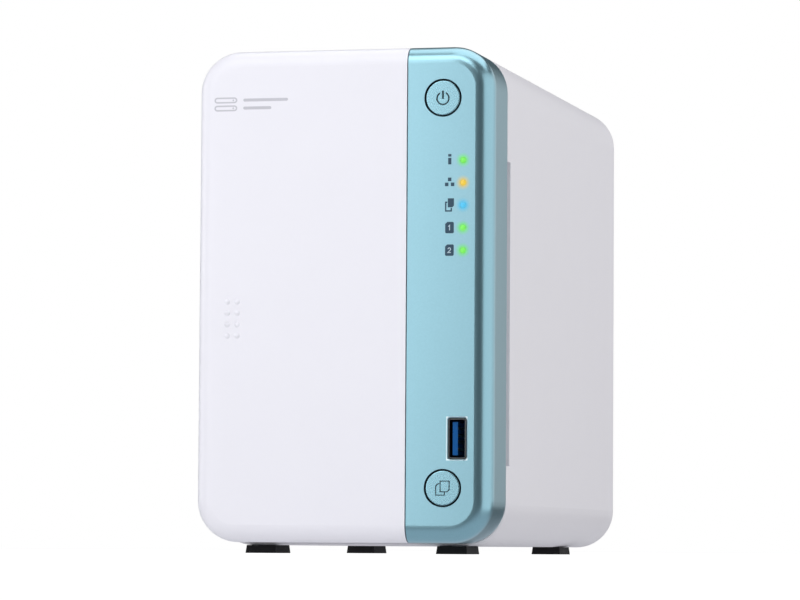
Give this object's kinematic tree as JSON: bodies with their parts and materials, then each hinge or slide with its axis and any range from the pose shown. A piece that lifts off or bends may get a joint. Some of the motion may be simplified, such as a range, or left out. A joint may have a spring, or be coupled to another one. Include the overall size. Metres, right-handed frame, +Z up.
{
  "type": "network attached storage",
  "caption": "Upright desktop network storage box with a removable bay cover, a control strip with lamps and buttons, drive trays, fan and rear ports.",
  "frame": {"origin": "bottom centre of the bounding box, on the surface the feet stand on", "axes": "+X right seen from the front, +Y towards the back, +Z up"},
  "size_m": [0.102, 0.219, 0.169],
  "materials": {
    "case_white": "satin moulded plastic",
    "cover_white": "satin moulded plastic",
    "strip_teal": "satin plastic with a fine metallic paint",
    "button_teal": "satin plastic with a fine metallic paint",
    "inner_plastic": "matt moulded plastic",
    "black_plastic": "matt moulded plastic",
    "tray_plastic": "matt moulded plastic",
    "clear_plastic": "clear polished plastic",
    "led_plastic": "small moulded chip",
    "blue_plastic": "moulded connector plastic",
    "foot_rubber": "matt rubber",
    "sheet_steel": "zinc plated sheet steel",
    "panel_steel": "painted sheet steel",
    "shell_steel": "plated connector steel",
    "screw_steel": "plated screw steel",
    "pin_steel": "ground steel",
    "cast_aluminium": "cast aluminium",
    "sink_aluminium": "extruded aluminium",
    "board_green": "solder mask over laminate",
    "gold_contact": "gold plated contact",
    "cable_grey": "flat cable plastic",
    "brass_part": "brass",
    "cell_steel": "stainless cell can"
  },
  "bodies": {
    "case": {"case_shell": "case_white", "control_strip": "strip_teal", "front_bezel": "inner_plastic", "switch_bodies": "black_plastic", "light_pipe": "clear_plastic", "status_leds": "led_plastic", "front_board": "board_green", "front_board_cable": "cable_grey", "front_usb_shell": "shell_steel", "front_usb_tongue": "blue_plastic", "front_usb_contacts": "gold_contact", "rubber_feet": "foot_rubber", "drive_cage": "sheet_steel", "backplane_board": "board_green", "sata_sockets": "black_plastic", "backplane_connector": "black_plastic", "fan_frame": "black_plastic", "fan_bearing": "brass_part", "fan_guard": "sheet_steel", "fan_screws": "screw_steel", "main_board": "board_green", "board_standoffs": "brass_part", "heat_sink": "sink_aluminium", "memory_sockets": "black_plastic", "memory_modules": "board_green", "coin_cell": "cell_steel", "lan_jack": "shell_steel", "rear_usb_shell": "shell_steel", "rear_usb_tongues": "blue_plastic", "hdmi_port": "shell_steel", "power_jack": "black_plastic", "expansion_slot": "black_plastic", "expansion_cover": "panel_steel", "rear_panel": "panel_steel", "rear_panel_screws": "screw_steel", "cage_screws": "screw_steel", "strip_screws": "screw_steel"},
    "bay_cover": {"bay_cover": "cover_white"},
    "power_button": {"power_button": "button_teal", "power_plunger": "inner_plastic"},
    "copy_button": {"copy_button": "button_teal", "copy_plunger": "inner_plastic"},
    "reset_button": {"reset_button": "black_plastic"},
    "fan_rotor": {"fan_rotor": "black_plastic", "fan_shaft": "pin_steel"},
    "tray_1": {"tray_1": "tray_plastic", "tray_1_lever_pin": "pin_steel", "tray_1_clips": "black_plastic", "hard_drive_1": "cast_aluminium", "hard_drive_1_lid": "pin_steel", "hard_drive_1_board": "board_green"},
    "tray_1_lever": {"tray_1_lever": "tray_plastic"},
    "tray_2": {"tray_2": "tray_plastic", "tray_2_lever_pin": "pin_steel", "tray_2_clips": "black_plastic", "hard_drive_2": "cast_aluminium", "hard_drive_2_lid": "pin_steel", "hard_drive_2_board": "board_green"},
    "tray_2_lever": {"tray_2_lever": "tray_plastic"}
  },
  "joints": [
    {"name": "cover_pull", "type": "slide", "parent": "case", "child": "bay_cover", "axis": [0, -1, 0], "range_m": [0, 0.26]},
    {"name": "power_press", "type": "slide", "parent": "case", "child": "power_button", "axis": [0, 1, 0], "range_m": [0, 0.0006], "stiffness_N_per_m": 900},
    {"name": "copy_press", "type": "slide", "parent": "case", "child": "copy_button", "axis": [0, 1, 0], "range_m": [0, 0.0006], "stiffness_N_per_m": 900},
    {"name": "reset_press", "type": "slide", "parent": "case", "child": "reset_button", "axis": [0, -1, 0], "range_m": [0, 0.0004], "stiffness_N_per_m": 600},
    {"name": "fan_spin", "type": "hinge", "parent": "case", "child": "fan_rotor", "pos_m": [-0.0115, 0.0955, 0.086], "axis": [0, 1, 0], "continuous": true},
    {"name": "tray_1_slide", "type": "slide", "parent": "case", "child": "tray_1", "axis": [0, -1, 0], "range_m": [0, 0.17]},
    {"name": "tray_1_lever_swing", "type": "hinge", "parent": "tray_1", "child": "tray_1_lever", "pos_m": [-0.02985, -0.1024, 0.0335], "axis": [1, 0, 0], "range_deg": [0, 40]},
    {"name": "tray_2_slide", "type": "slide", "parent": "case", "child": "tray_2", "axis": [0, -1, 0], "range_m": [0, 0.17]},
    {"name": "tray_2_lever_swing", "type": "hinge", "parent": "tray_2", "child": "tray_2_lever", "pos_m": [0.00345, -0.1024, 0.0335], "axis": [1, 0, 0], "range_deg": [0, 40]}
  ],
  "couplings": [
    {"joint": "tray_1_slide", "follows": "cover_pull", "ratio": 0.65},
    {"joint": "tray_1_lever_swing", "follows": "cover_pull", "rad_per_m": 2.68},
    {"joint": "tray_2_slide", "follows": "cover_pull", "ratio": 0.65},
    {"joint": "tray_2_lever_swing", "follows": "cover_pull", "rad_per_m": 2.68}
  ]
}
